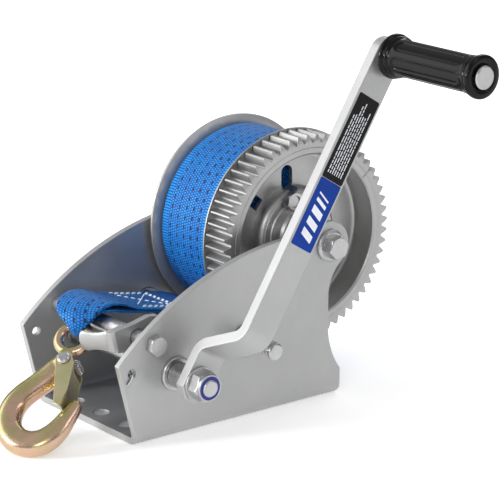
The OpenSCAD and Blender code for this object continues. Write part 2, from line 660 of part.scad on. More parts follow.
bowl_c = [-2, -64, 0];
rivet_at = [4, -22.5, 0];
latch_gap = 8.6;
latch_t = 1.6;
module blend_bar(a, ra, b, rb) hull() {
    translate(a) sphere(r = ra, $fn = 18);
    translate(b) sphere(r = rb, $fn = 18);
}
module hook() color(gold) difference() {
    in_hook() union() {
        rotate_extrude($fn = 40) translate([ring_r, 0]) circle(r = ring_bar_r, $fn = 16);
        // Straight seat that the strap's fold swings on
        translate([-4, ring_r, 0]) rotate([0, 90, 0]) cylinder(r = ring_bar_r + 0.1, h = 8, $fn = 48);
        translate(bowl_c) rotate(175) rotate_extrude(angle = 160, $fn = 60)
            translate([bowl_r, 0]) circle(r = bowl_bar_r, $fn = 18);
        blend_bar([0, -15, 0], 6, [1, -24, 0], 8);
        blend_bar([1, -24, 0], 8, [-13, -42, 0], 7.8);
        blend_bar([-13, -42, 0], 7.8, bowl_c + [-bowl_r, 2, 0], bowl_bar_r);
        blend_bar(bowl_c + bowl_r * [cos(335), sin(335), 0], bowl_bar_r, [20.2, -61, 0], 6.2);
        blend_bar([20.2, -61, 0], 6.2, [20.6, -52, 0], 4.6);
    }
    in_hook() translate(rivet_at) {
        cylinder(r = rivet_r + snug, h = 40, center = true, $fn = 48);
        for (side = [-1, 1]) translate([0, 0, side * (latch_gap - 0.15 + 10)])
            cube([40, 30, 20], center = true);
    }
}

module latch_rivet() color(steel) in_hook() translate(rivet_at) {
    cylinder(r = rivet_r, h = 2 * (latch_gap + latch_t + 0.4), center = true, $fn = 48);
    for (side = [0, 1]) mirror([0, 0, side]) translate([0, 0, latch_gap + latch_t + 0.3])
        rotate_extrude($fn = 64) polygon([[0, 0], [4.6, 0], [4.6, 0.6], [3.4, 1.8], [0, 2.2]]);
}

// Folded sheet gate: two ears on the rivet and a web on the mouth side
module latch_ear_2d() difference() {
    union() {
        circle(r = 6, $fn = 48);
        polygon([[-4.8, -3.6], [5.5, -35.5], [10, -36.5], [11.6, -24], [8.6, -2], [5.6, 2]]);
    }
    circle(r = rivet_r + run_gap, $fn = 48);
}
module hook_latch() color("khaki") in_hook() translate(rivet_at) {
    for (side = [0, 1]) mirror([0, 0, side])
        translate([0, 0, latch_gap]) linear_extrude(latch_t) latch_ear_2d();
    translate([0, 0, -latch_gap - 0.1]) linear_extrude(2 * latch_gap + 0.2)
        polygon([[8.6, -6.5], [11.6, -24], [10.2, -35], [8.8, -35], [10, -24], [7.2, -6.8]]);
}

module latch_spring() color(steel) in_hook() translate(rivet_at + [7.4, 0.5, 0])
    for (z = [-1, 1]) translate([0, 0, z * 4.5])
        rotate_extrude($fn = 48) translate([2.2, 0]) circle(r = 0.6, $fn = 20);

frame_channel();
tie_rod();
tie_rod_bolts();
drum_axle_bolt();
drum_axle_nut();
axle_washer();
axle_sleeve();
crank_shaft_bushes();
layshaft_bushes();
strap_lead();
pawl_spring();
ratchet_pawl();
crank_shaft();
crank_pinion();
ratchet_wheel();
crank_spacer();
crank_shaft_clip();
crank_arm();
crank_washer();
crank_lock_nut();
lock_nut_insert();
arm_label();
grip_pin();
grip_washer();
grip();
layshaft();
layshaft_pinion();
layshaft_gear();
layshaft_clip();
drum_gear();
drum_left_flange();
drum_core();
drum_bushes();
strap_wound();
strap_anchor_bolt();
strap_anchor_nut();
hook();
latch_rivet();
hook_latch();
latch_spring();
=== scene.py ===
"""Looks of the trailer winch: studio, materials and the pieces that stand for CAD solids."""

import json
import math
import random

import bmesh
import bpy
import numpy as np
from mathutils import Matrix, Vector


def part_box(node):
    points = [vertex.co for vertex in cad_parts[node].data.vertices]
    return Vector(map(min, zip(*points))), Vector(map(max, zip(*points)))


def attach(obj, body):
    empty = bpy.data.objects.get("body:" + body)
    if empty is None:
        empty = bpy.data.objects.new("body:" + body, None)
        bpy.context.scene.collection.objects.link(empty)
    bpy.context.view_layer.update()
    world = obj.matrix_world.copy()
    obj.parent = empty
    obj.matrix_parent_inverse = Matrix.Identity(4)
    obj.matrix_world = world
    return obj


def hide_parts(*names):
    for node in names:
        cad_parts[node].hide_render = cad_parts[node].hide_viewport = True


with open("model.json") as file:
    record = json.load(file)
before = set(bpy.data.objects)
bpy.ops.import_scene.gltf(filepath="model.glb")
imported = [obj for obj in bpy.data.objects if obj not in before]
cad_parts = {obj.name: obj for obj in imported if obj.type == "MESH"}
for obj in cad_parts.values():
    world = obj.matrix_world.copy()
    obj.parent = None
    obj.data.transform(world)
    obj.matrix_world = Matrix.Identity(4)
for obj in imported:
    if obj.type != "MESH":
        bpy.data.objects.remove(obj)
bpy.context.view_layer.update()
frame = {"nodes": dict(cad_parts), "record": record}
MM = 0.001
FULL_TURN = 2 * math.pi

# ---------------------------------------------------------------- camera and studio

CAMERA_AT = Vector((1287.0, -946.3, 569.0)) * MM
CAMERA_TO = Vector((24.8, 35.0, 106.6)) * MM
LENS_MM = 173.06
SENSOR_MM = 36.0
# Height in the dome, as a share of the way up, and the grey there
DOME = [(0.0, (0.62, 0.62, 0.63)), (0.3, (0.42, 0.42, 0.43)), (0.75, (1.0, 1.0, 1.0))]
DOME_STRENGTH = 0.56
FLOOR_HALF = 12
FLOOR_GLOW = 0.38
MIDDLE = (0, 0, 0.1)
# Name, place, width and height in metres, and watts
SOFTBOXES = [
    ("key", (-1.7, -1.5, 1.1), (2.4, 1.8), 27),
    ("spot", (-0.6, -1.9, 0.6), (0.3, 0.3), 24),
    ("fill", (1.35, -1.5, 0.9), (0.6, 0.6), 9),
    ("side", (2.0, 0.9, 1.3), (0.5, 1.4), 6),
    ("back", (-0.8, 1.7, 1.5), (1.4, 0.6), 14),
]


def look_at(obj, place, target):
    """Puts a camera or a light in the scene and aims it."""
    obj.location = place
    obj.rotation_euler = (Vector(target) - Vector(place)).to_track_quat("-Z", "Y").to_euler()
    bpy.context.scene.collection.objects.link(obj)


def add_camera():
    data = bpy.data.cameras.new("camera")
    data.lens = LENS_MM
    data.sensor_width = SENSOR_MM
    data.clip_end = 50
    camera = bpy.data.objects.new("camera", data)
    look_at(camera, CAMERA_AT, CAMERA_TO)
    bpy.context.scene.camera = camera


def softbox(name, place, size, watts):
    data = bpy.data.lights.new(name, "AREA")
    data.shape = "RECTANGLE"
    data.size, data.size_y = size
    data.energy = watts
    look_at(bpy.data.objects.new(name, data), place, MIDDLE)


def add_world():
    """A studio dome: mid grey low down, darker grey above that and white overhead."""
    world = bpy.data.worlds.new("studio")
    bpy.context.scene.world = world
    world.use_nodes = True
    nt = world.node_tree
    coords = nt.nodes.new("ShaderNodeTexCoord")
    split = nt.nodes.new("ShaderNodeSeparateXYZ")
    ramp = nt.nodes.new("ShaderNodeValToRGB")
    nt.links.new(coords.outputs["Generated"], split.inputs[0])
    nt.links.new(split.outputs["Z"], ramp.inputs["Fac"])
    stops = ramp.color_ramp.elements
    stops.new(DOME[1][0])
    for stop, (height, grey) in zip(stops, DOME):
        stop.position = height
        stop.color = (*grey, 1)
    nt.links.new(ramp.outputs["Color"], nt.nodes["Background"].inputs["Color"])
    nt.nodes["Background"].inputs["Strength"].default_value = DOME_STRENGTH


def add_floor():
    mesh = bpy.data.meshes.new("floor")
    corners = [(-FLOOR_HALF, -FLOOR_HALF, 0), (FLOOR_HALF, -FLOOR_HALF, 0),
               (FLOOR_HALF, FLOOR_HALF, 0), (-FLOOR_HALF, FLOOR_HALF, 0)]
    mesh.from_pydata(corners, [], [(0, 1, 2, 3)])
    floor = bpy.data.objects.new("floor", mesh)
    bpy.context.scene.collection.objects.link(floor)
    mat = bpy.data.materials.new("floor")
    mat.use_nodes = True
    shader = mat.node_tree.nodes["Principled BSDF"]
    shader.inputs["Base Color"].default_value = (0.9, 0.9, 0.9, 1)
    shader.inputs["Roughness"].default_value = 0.7
    shader.inputs["Specular IOR Level"].default_value = 0.1
    shader.inputs["Emission Color"].default_value = (1, 1, 1, 1)
    shader.inputs["Emission Strength"].default_value = FLOOR_GLOW
    mesh.materials.append(mat)


add_camera()
add_world()
add_floor()
for box_row in SOFTBOXES:
    softbox(*box_row)
bpy.context.scene.view_settings.view_transform = "Standard"
bpy.context.scene.view_settings.look = "None"

# ---------------------------------------------------------------- node materials


class Paint:
    """A node material in the making. Object coordinates are metres in the shared frame."""

    def __init__(self, name, colour, roughness, metallic=0.0):
        self.mat = bpy.data.materials.new(name)
        self.mat.use_nodes = True
        self.nt = self.mat.node_tree
        self.shader = self.nt.nodes["Principled BSDF"]
        self.shader.inputs["Base Color"].default_value = (*colour, 1)
        self.shader.inputs["Roughness"].default_value = roughness
        self.shader.inputs["Metallic"].default_value = metallic
        self.coords = self.nt.nodes.new("ShaderNodeTexCoord").outputs["Object"]
        self.normal = None

    def put(self, value, socket):
        """Sets a socket from a number, a colour or another socket."""
        if isinstance(value, (int, float)):
            socket.default_value = value
        elif isinstance(value, tuple):
            socket.default_value = (*value, 1)
        else:
            self.nt.links.new(value, socket)

    def mapped(self, scale):
        """Object coordinates with each axis scaled by its own factor."""
        node = self.nt.nodes.new("ShaderNodeMapping")
        node.inputs["Scale"].default_value = scale
        self.put(self.coords, node.inputs["Vector"])
        return node.outputs["Vector"]

    def noise(self, scale, detail=3.0, roughness=0.5, stretch=None):
        """A noise with about that many features to the metre, each axis scaled by stretch if given."""
        node = self.nt.nodes.new("ShaderNodeTexNoise")
        node.inputs["Scale"].default_value = scale
        node.inputs["Detail"].default_value = detail
        node.inputs["Roughness"].default_value = roughness
        self.put(self.mapped(stretch) if stretch else self.coords, node.inputs["Vector"])
        return node.outputs["Fac"]

    def spread(self, fac, low, high, from_low=0.3, from_high=0.7):
        """fac taken from one range to another."""
        node = self.nt.nodes.new("ShaderNodeMapRange")
        node.inputs["From Min"].default_value = from_low
        node.inputs["From Max"].default_value = from_high
        node.inputs["To Min"].default_value = low
        node.inputs["To Max"].default_value = high
        self.put(fac, node.inputs["Value"])
        return node.outputs["Result"]

    def mix(self, fac, a, b):
        """Colour a where fac is 0 and colour b where it is 1."""
        node = self.nt.nodes.new("ShaderNodeMix")
        node.data_type = "RGBA"
        self.put(fac, node.inputs["Factor"])
        self.put(a, node.inputs[6])
        self.put(b, node.inputs[7])
        return node.outputs[2]

    def math(self, operation, a, b=None):
        node = self.nt.nodes.new("ShaderNodeMath")
        node.operation = operation
        self.put(a, node.inputs[0])
        if b is not None:
            self.put(b, node.inputs[1])
        return node.outputs[0]

    def wave(self, turns):
        """Humps from 0 to 1 and back, one to each whole number of turns."""
        return self.math("ABSOLUTE", self.math("SINE", self.math("MULTIPLY", turns, math.pi)))

    def colour(self, source):
        self.put(source, self.shader.inputs["Base Color"])

    def rough(self, source):
        self.put(source, self.shader.inputs["Roughness"])

    def bump(self, height, distance, strength):
        """Adds a relief on top of those that the material has already."""
        node = self.nt.nodes.new("ShaderNodeBump")
        node.inputs["Distance"].default_value = distance
        node.inputs["Strength"].default_value = strength
        self.put(height, node.inputs["Height"])
        if self.normal is not None:
            self.put(self.normal, node.inputs["Normal"])
        self.normal = node.outputs["Normal"]
        self.put(self.normal, self.shader.inputs["Normal"])


# Stretch of the fine scratches along X, Y and Z, and their depth
SCRATCH_STRETCH = (1, 0.04, 0.3)
SCRATCH_MM = 0.02
RUBBED_GLOSS = 0.06


def worn_metal(name, dark, light, roughness, cloud_scale, grain_scale, grain_mm, brushed=None, metallic=1.0):
    """Metal with cloudy plating, fine grain, faint scratches and rubbed patches."""
    paint = Paint(name, light, roughness, metallic)
    cloud = paint.noise(cloud_scale, 5, 0.62)
    grain = paint.noise(grain_scale, 3, 0.55, brushed)
    rubbed = paint.spread(paint.noise(cloud_scale * 2.3, 4, 0.7), 0, 1, 0.5, 0.68)
    tone = paint.mix(paint.spread(cloud, 0, 1), dark, light)
    speck = paint.spread(grain, 0.9, 1.1)
    tone = paint.mix(0.35, tone, paint.mix(paint.spread(grain, 0, 1), dark, light))
    paint.colour(tone)
    rough = paint.math("MULTIPLY", paint.spread(cloud, roughness - 0.05, roughness + 0.06), speck)
    paint.rough(paint.math("SUBTRACT", rough, paint.math("MULTIPLY", rubbed, RUBBED_GLOSS)))
    paint.bump(grain, grain_mm * MM, 0.6)
    scratch = paint.noise(grain_scale * 0.35, 2, 0.5, SCRATCH_STRETCH)
    paint.bump(scratch, SCRATCH_MM * MM, 0.35)
    return paint.mat


def plain(name, colour, roughness, light=None, gloss=0.5):
    """Moulded plastic or print with a fine grain and slight unevenness of colour and gloss."""
    paint = Paint(name, colour, roughness)
    cloud = paint.noise(45, 4, 0.6)
    fine = paint.noise(1100, 3)
    light = light or tuple(c * 1.25 for c in colour)
    paint.colour(paint.mix(paint.spread(cloud, 0, 1), colour, light))
    paint.rough(paint.math("ADD", paint.spread(cloud, roughness - 0.02, roughness + 0.03),
                           paint.spread(fine, -0.02, 0.02)))
    paint.bump(fine, 0.02 * MM, 0.3)
    paint.shader.inputs["Specular IOR Level"].default_value = gloss
    return paint.mat


def gold_zinc(name, tones, roughness):
    """Yellow passivated zinc whose tint drifts at random from gold to olive and rose, with a painted
    iridescent sheen that shifts the tint further with the way the surface faces.
    """
    paint = Paint(name, tones[0], roughness, 1.0)
    slope = paint.nt.nodes.new("ShaderNodeSeparateXYZ")
    paint.put(paint.nt.nodes.new("ShaderNodeTexCoord").outputs["Normal"], slope.inputs[0])
    drift = paint.noise(38, 4, 0.65)
    # Painted iridescent sheen: the tint leans to olive where the surface faces up and to rose where it faces
    # +X, on top of its random drift.
    side = paint.math("ADD", paint.math("MULTIPLY", slope.outputs["Z"], 0.35), drift)
    lean = paint.math("ADD", paint.math("MULTIPLY", slope.outputs["X"], 0.3), paint.noise(61, 3, 0.6))
    drift_and_sheen_tint = paint.mix(paint.spread(side, 0, 1, 0.25, 0.75), tones[0], tones[1])
    paint.colour(paint.mix(paint.spread(lean, 0, 0.9, 0.4, 0.8), drift_and_sheen_tint, tones[2]))
    grain = paint.noise(1300, 3, 0.6)
    paint.rough(paint.math("ADD", paint.spread(drift, roughness - 0.04, roughness + 0.08),
                           paint.spread(grain, -0.05, 0.05)))
    paint.bump(paint.noise(260, 4, 0.6), 0.12 * MM, 0.35)
    paint.bump(grain, 0.03 * MM, 0.5)
    return paint.mat


# Webbing pattern, in millimetres across and along the band
BAND_W = 51.0
CORD_PITCH = 2.5
WEFT_PITCH = 2.0
SELVEDGE_W = 5.0
# Dark flecks: lanes of them side by side, each lane a share of the pitch further on than the last
FLECK_LANES = 5
FLECK_LANE_PITCH = 8.0
FLECK_PITCH = 6.8
FLECK_SLANT = 0.13
FLECK_HALF_W = 0.75
FLECK_HALF_L = 1.45


def webbing(name):
    """Blue polyester webbing: bundled cords, weft ribs, plain selvedges and rows of dark flecks, with
    painted shade in the weave's hollows and a painted highlight on its crests.
    """
    paint = Paint(name, (0.001, 0.27, 0.74), 0.5)
    uv = paint.nt.nodes.new("ShaderNodeUVMap")
    uv.uv_map = "band"
    split = paint.nt.nodes.new("ShaderNodeSeparateXYZ")
    paint.put(uv.outputs["UV"], split.inputs[0])
    across = paint.math("MULTIPLY", split.outputs["X"], 1 / MM)
    along = paint.math("MULTIPLY", split.outputs["Y"], 1 / MM)
    cord = paint.math("DIVIDE", across, CORD_PITCH)
    weft = paint.math("DIVIDE", along, WEFT_PITCH)
    stagger = paint.math("MULTIPLY", paint.math("FLOOR", cord), 0.5)
    cord_wave = paint.math("POWER", paint.wave(cord), 0.6)
    weft_wave = paint.math("POWER", paint.wave(paint.math("ADD", weft, stagger)), 0.8)
    woven = paint.math("MULTIPLY", cord_wave, weft_wave)
    ribs = paint.wave(weft)
    middle = paint.math("SUBTRACT", across, BAND_W / 2)
    edge = paint.math("GREATER_THAN", paint.math("ABSOLUTE", middle), BAND_W / 2 - SELVEDGE_W)
    keep = paint.math("SUBTRACT", 1.0, edge)
    height = paint.math("ADD", paint.math("MULTIPLY", woven, keep), paint.math("MULTIPLY", ribs, edge))
    lane = paint.math("DIVIDE", middle, FLECK_LANE_PITCH)
    lane_no = paint.math("ROUND", lane)
    off_lane = paint.math("ABSOLUTE", paint.math("SUBTRACT", lane, lane_no))
    slant = paint.math("MULTIPLY", lane_no, FLECK_SLANT)
    run = paint.math("ADD", paint.math("DIVIDE", along, FLECK_PITCH), slant)
    off_run = paint.math("ABSOLUTE", paint.math("SUBTRACT", run, paint.math("ROUND", run)))
    in_lane = paint.math("LESS_THAN", off_lane, FLECK_HALF_W / FLECK_LANE_PITCH)
    in_run = paint.math("LESS_THAN", off_run, FLECK_HALF_L / FLECK_PITCH)
    in_rows = paint.math("LESS_THAN", paint.math("ABSOLUTE", lane_no), FLECK_LANES / 2)
    fleck = paint.math("MULTIPLY", paint.math("MULTIPLY", in_lane, in_run), in_rows)
    tint = paint.noise(120, 3, 0.6)
    # Painted light in the weave: a dark navy stands for painted shade in its hollows and a bright azure for
    # a painted highlight on its crests, mixed by the weave's height.
    painted_gap_shade = paint.mix(paint.spread(tint, 0, 1), (0.0005, 0.03, 0.20), (0.001, 0.045, 0.26))
    crest = paint.mix(paint.spread(tint, 0, 1), (0.001, 0.23, 0.74), (0.004, 0.33, 0.86))
    yarn_with_painted_light = paint.mix(paint.spread(height, 0, 1, 0.15, 0.95), painted_gap_shade, crest)
    paint.colour(paint.mix(fleck, yarn_with_painted_light, (0.002, 0.006, 0.03)))
    paint.rough(paint.spread(height, 0.62, 0.42, 0.1, 0.9))
    relief = paint.math("SUBTRACT", height, fleck)
    paint.bump(relief, 0.35 * MM, 0.9)
    paint.bump(paint.noise(2600, 2), 0.04 * MM, 0.5)
    paint.shader.inputs["Specular IOR Level"].default_value = 0.3
    paint.shader.inputs["Sheen Weight"].default_value = 0.05
    paint.shader.inputs["Sheen Roughness"].default_value = 0.4
    return paint.mat


# Gold, olive and rose tones of the plating, which gold_zinc mixes at random and also, as a painted
# iridescent sheen, by the way the surface faces.
HOOK_GOLDS = ((0.58, 0.46, 0.24), (0.40, 0.41, 0.15), (0.66, 0.42, 0.34))
LATCH_GOLDS = ((0.60, 0.56, 0.31), (0.46, 0.48, 0.22), (0.62, 0.52, 0.36))
MATERIALS = {
    "zinc_plate": worn_metal(
        "zinc_plate", (0.40, 0.402, 0.406), (0.50, 0.502, 0.505), 0.45, 22, 1500, 0.03, metallic=0.66),
    "zinc_cast": worn_metal(
        "zinc_cast", (0.36, 0.36, 0.36), (0.50, 0.50, 0.495), 0.40, 40, 850, 0.07, metallic=0.9),
    "bright_steel": worn_metal(
        "bright_steel", (0.40, 0.40, 0.405), (0.56, 0.56, 0.565), 0.32, 70, 1300, 0.02),
    "gear_steel": worn_metal(
        "gear_steel", (0.36, 0.36, 0.36), (0.50, 0.50, 0.505), 0.32, 80, 1000, 0.03, (6, 1, 1)),
    "bush_nylon": plain("bush_nylon", (0.62, 0.59, 0.50), 0.45),
    "insert_nylon": plain("insert_nylon", (0.02, 0.03, 0.22), 0.35, (0.035, 0.05, 0.34), 0.3),
    "strap_blue": webbing("strap_blue"),
    "grip_black": plain("grip_black", (0.002, 0.002, 0.0023), 0.2, (0.004, 0.004, 0.0043), 0.2),
    "label": plain("label", (0.002, 0.035, 0.27), 0.4, (0.003, 0.045, 0.32), 0.15),
    "gold_zinc": gold_zinc("gold_zinc", HOOK_GOLDS, 0.25),
    "latch_gold": gold_zinc("latch_gold", LATCH_GOLDS, 0.33),
}
LABEL_DARK = plain("label_dark", (0.006, 0.005, 0.006), 0.45, (0.010, 0.009, 0.010), 0.15)
LABEL_WHITE = plain("label_white", (0.72, 0.74, 0.78), 0.5, gloss=0.2)
THREAD_WHITE = plain("thread_white", (0.78, 0.86, 0.92), 0.6)

# ---------------------------------------------------------------- CAD nodes: materials and softened edges

# Width of the softened edge, in millimetres, and the nodes where it isn't the usual one
USUAL_EDGE = 0.3
EDGES = {
    "frame_channel": 0.7, "crank_arm": 0.8, "hook_latch": 0.35, "drum_left_flange": 0.5,
    "lock_nut_insert": 0.15, "latch_rivet": 0.15,
}
# Nodes that a Blender piece replaces, so that they need no softening
REPLACED = [
    "grip", "arm_label", "pawl_spring", "latch_spring", "hook", "strap_wound", "strap_lead", "ratchet_pawl",
]
SHARP_ANGLE = math.radians(32)
FLAT_ANGLE = math.radians(0.6)
WELD_MM = 0.002


def soften(obj, width_mm):
    """Joins the faces of a CAD mesh and rounds its sharp edges, with modifiers only."""
    weld = obj.modifiers.new("weld", "WELD")
    weld.merge_threshold = WELD_MM * MM
    flat = obj.modifiers.new("flat", "DECIMATE")
    flat.decimate_type = "DISSOLVE"
    flat.angle_limit = FLAT_ANGLE
    bevel = obj.modifiers.new("bevel", "BEVEL")
    bevel.width = width_mm * MM
    bevel.segments = 2
    bevel.limit_method = "ANGLE"
    bevel.angle_limit = SHARP_ANGLE
    bevel.use_clamp_overlap = False
    normal = obj.modifiers.new("normal", "WEIGHTED_NORMAL")
    normal.keep_sharp = False


for row in frame["record"]["subparts"]:
    node = frame["nodes"][row["node"]]
    node.data.materials.clear()
    node.data.materials.append(MATERIALS[row["material_slot"]])
    if row["node"] not in REPLACED:
        for face in node.data.polygons:
            face.use_smooth = True
        soften(node, EDGES.get(row["node"], USUAL_EDGE))

# ---------------------------------------------------------------- mesh helpers


# A direction that no tube runs along, from which its rings are turned
TUBE_LEAN = Vector((0.3, 0.2, 0.93))


def centre(node):
    """Middle of a CAD node's box, in millimetres."""
    low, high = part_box(node)
    return (Vector(low) + Vector(high)) / (2 * MM)


def low_high(node, axis):
    """Lowest and highest millimetre of a CAD node along one axis."""
    low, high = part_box(node)
    return low[axis] / MM, high[axis] / MM


def lofted(rings):
    """Vertices and faces of a capped skin over closed rings that have the same number of points."""
    count = len(rings[0])
    verts = [tuple(point) for ring in rings for point in ring]
    faces = []
    for i in range(len(rings) - 1):
        for k in range(count):
            a, b = i * count + k, i * count + (k + 1) % count
            faces.append((a, b, b + count, a + count))
    faces.append(tuple(reversed(range(count))))
    faces.append(tuple(range(len(verts) - count, len(verts))))
    return verts, faces


def bare_object(name, verts, faces):
    """An object from millimetre vertices, with its faces turned outwards."""
    mesh = bpy.data.meshes.new(name)
    mesh.from_pydata([tuple(c * MM for c in v) for v in verts], [], faces)
    bm = bmesh.new()
    bm.from_mesh(mesh)
    bmesh.ops.recalc_face_normals(bm, faces=bm.faces)
    bm.to_mesh(mesh)
    bm.free()
    for face in mesh.polygons:
        face.use_smooth = True
    obj = bpy.data.objects.new(name, mesh)
    bpy.context.scene.collection.objects.link(obj)
    return obj


def finish_piece(obj, body, materials, replaces=()):
    """Gives a piece its materials and its body, and hides the CAD nodes that it stands for."""
    for material in materials:
        obj.data.materials.append(material)
    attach(obj, body)
    if replaces:
        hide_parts(*replaces)
    return obj


def join_parts(parts):
    """Puts several (vertices, faces) parts into one."""
    verts, faces = [], []
    for part_verts, part_faces in parts:
        base = len(verts)
        verts += part_verts
        faces += [tuple(i + base for i in face) for face in part_faces]
    return verts, faces


def add_band_map(mesh, flat):
    """Writes each vertex's place on the flat band, in metres, as the UV map 'band'."""
    layer = mesh.uv_layers.new(name="band")
    for loop in mesh.loops:
        layer.data[loop.index].uv = flat[loop.vertex_index]


def tube(points, radii, sides):
    """A round bar along points with a radius at each, as vertices and faces."""
    points = [Vector(p) for p in points]
    angles = [FULL_TURN * k / sides for k in range(sides)]
    rings = []
    for i, (point, radius) in enumerate(zip(points, radii)):
        ahead = points[min(i + 1, len(points) - 1)] - points[max(i - 1, 0)]
        side = ahead.cross(TUBE_LEAN).normalized()
        up = side.cross(ahead).normalized()
        rings.append([point + radius * (math.cos(a) * side + math.sin(a) * up) for a in angles])
    return lofted(rings)


def smooth_path(rows, steps):
    """Catmull-Rom curve through rows of numbers, with the given steps between neighbours."""
    rows = np.array(rows, dtype=float)
    padded = np.vstack([2 * rows[0] - rows[1], rows, 2 * rows[-1] - rows[-2]])
    out = []
    for i in range(1, len(padded) - 2):
        a, b, c, d = padded[i - 1 : i + 3]
        for k in range(steps):
            t = k / steps
            out.append(0.5 * (2 * b + (c - a) * t + (2 * a - 5 * b + 4 * c - d) * t * t
                              + (3 * b - a - 3 * c + d) * t ** 3))
    out.append(rows[-1])
    return np.array(out)


def remeshed(obj, voxel_mm, smooth_steps):
    """Fuses an object's overlapping closed parts into one skin and rounds it."""
    skin = obj.modifiers.new("skin", "REMESH")
    skin.mode = "VOXEL"
    skin.voxel_size = voxel_mm * MM
    skin.use_smooth_shade = True
    soft = obj.modifiers.new("soft", "SMOOTH")
    soft.factor = 0.5
    soft.iterations = smooth_steps
    graph = bpy.context.evaluated_depsgraph_get()
    mesh = bpy.data.meshes.new_from_object(obj.evaluated_get(graph))
    obj.modifiers.clear()
    obj.data = mesh
    for face in mesh.polygons:
        face.use_smooth = True
    return obj


# ---------------------------------------------------------------- webbing wound on the drum

BAND_T = 1.3
LAYER_PITCH = 1.4
ROLL_STEPS = 72
# Millimetres by which the roll stands outside its CAD solid, and to the left of it
ROLL_GROWTH = 2.1
ROLL_SHIFT = 1.2
# Where the band leaves the roll, as Y and Z from the axle
LEAVES_AT = (-24.5, -63.1)
LEAD_START_ANGLE = math.atan2(LEAVES_AT[1], LEAVES_AT[0])
# How far the band sinks between its edges
ROLL_SAG = 0.25
# Places across the band, from one edge to the other, and the band's half thickness there
BAND_PROFILE = [(0, 0.25), (0.7, 0.55), (3, 0.65), (14, 0.62), (25, 0.65), (37, 0.62), (48, 0.65),
                (50.3, 0.55), (BAND_W, 0.25)]


def add_wound_band():
    """One long band in a spiral from the outermost turn to the core, each turn a little off the last."""
    axle = centre("strap_wound")
    x_low = low_high("strap_wound", 0)[0]
    outer = low_high("strap_wound", 1)[1] - axle.y - BAND_T / 2 + ROLL_GROWTH
    inner = (low_high("drum_core", 1)[1] - axle.y) + BAND_T
    turns = (outer - inner) / LAYER_PITCH
    count = int(turns * ROLL_STEPS)
    profile = BAND_PROFILE + [(u, -t) for u, t in reversed(BAND_PROFILE)]
    rings, flat = [], []
    run = 0.0
    step = FULL_TURN / ROLL_STEPS
    for i in range(count + 1):
        turn = i / ROLL_STEPS
        radius = outer - turn * LAYER_PITCH
        angle = LEAD_START_ANGLE + i * step
        wander = 0.3 * math.sin(4.1 * turn + 1.0) + 0.25 * math.sin(1.7 * turn)
        ripple = 0.12 * math.sin(9.3 * turn) * math.sin(2.1 * turn)
        ring = []
        for u, t in profile:
            sag = -ROLL_SAG * (1 - ((u - BAND_W / 2) / (BAND_W / 2)) ** 2)
            r = radius + t + ripple + sag
            x = x_low - ROLL_SHIFT + u + wander
            ring.append((x, axle.y + r * math.cos(angle), axle.z + r * math.sin(angle)))
            flat.append((u * MM, run * MM))
        rings.append(ring)
        run += radius * step
    verts, faces = lofted(rings)
    band = bare_object("webbing_roll", verts, faces)
    add_band_map(band.data, flat)
    finish_piece(band, "drum", [MATERIALS["strap_blue"]], ["strap_wound"])


add_wound_band()

# ---------------------------------------------------------------- free end of the webbing

# Route of the free strap: X, Y, Z, half width once its sides are folded under, turn of its width about Z
# in degrees, and the space between its folded layers
LEAD = [
    (-19, 53, 47.4, 25, 0, 1.2), (-19, 30, 56.6, 25, 0, 1.2), (-19, 12, 63.6, 25, 0, 1.2),
    (-19, 4, 65.9, 25, 0, 1.2), (-19, -8, 67.6, 25, 0, 1.2), (-19, -30, 71.4, 25, 0, 1.2),
    (-19, -44, 74.3, 25, 0, 1.2), (-19, -52, 76.8, 25, 2, 1.2), (-18.6, -60, 79.8, 24.4, 5, 1.2),
    (-17.6, -68, 81.8, 23, 9, 1.3), (-15.6, -76, 81.8, 21.2, 14, 1.5), (-12.4, -83, 80.2, 19, 19, 1.5),
    (-8.6, -88.2, 77.4, 16, 24, 1.4), (-5.2, -91.2, 73.4, 11.4, 28, 1.3), (-4, -92, 68.2, 7, 30, 1.1),
    (-4.5, -91.1, 63.1, 4.8, 30, 1.1), (-6.5, -87.8, 60.4, 4.8, 30, 0.9), (-8.4, -84.4, 60.7, 5.2, 28, 0.6),
    (-9.7, -82.2, 63.5, 6, 22, 0.5), (-10.3, -80.4, 67.6, 6.5, 12, 0.4), (-11.6, -79.6, 72.6, 11, 8, 0.6),
    (-13.4, -76.8, 75.6, 17, 4, 0.6), (-15.6, -71, 76.4, 21, 0, 0.6), (-17.6, -62, 75.6, 24, 0, 0.6),
    (-18.6, -52, 73.4, 24.5, 0, 0.8), (-19, -42, 71.7, 25, 0, 0.8), (-19, -28, 69.2, 25, 0, 0.8),
    (-19, -6, 65.6, 25, 0, 0.8),
]
LEAD_STEPS = 5
ACROSS_STEPS = 32
# Half width lost by which the sides are wholly folded under, and the most half widths that they fill then
FOLD_ONSET = 6
MOST_LAYERS = 2.75
# Height of the arch across the gathered strap, and of the ripple in its folds
CROWN = 2.0
RIPPLE = 0.35
TIGHTEST_BEND = 0.02


def folded(t, half, bend):
    """Where a point t from the middle of the band lies, once the band is folded to this half width."""
    s = abs(t)
    flat = half - bend
    if s <= flat:
        x, depth = s, 0.0
    elif s <= flat + math.pi * bend:
        turn = (s - flat) / bend
        x, depth = flat + bend * math.sin(turn), bend * (1 - math.cos(turn))
    else:
        x, depth = flat - (s - flat - math.pi * bend), 2 * bend
    return math.copysign(x, t), depth


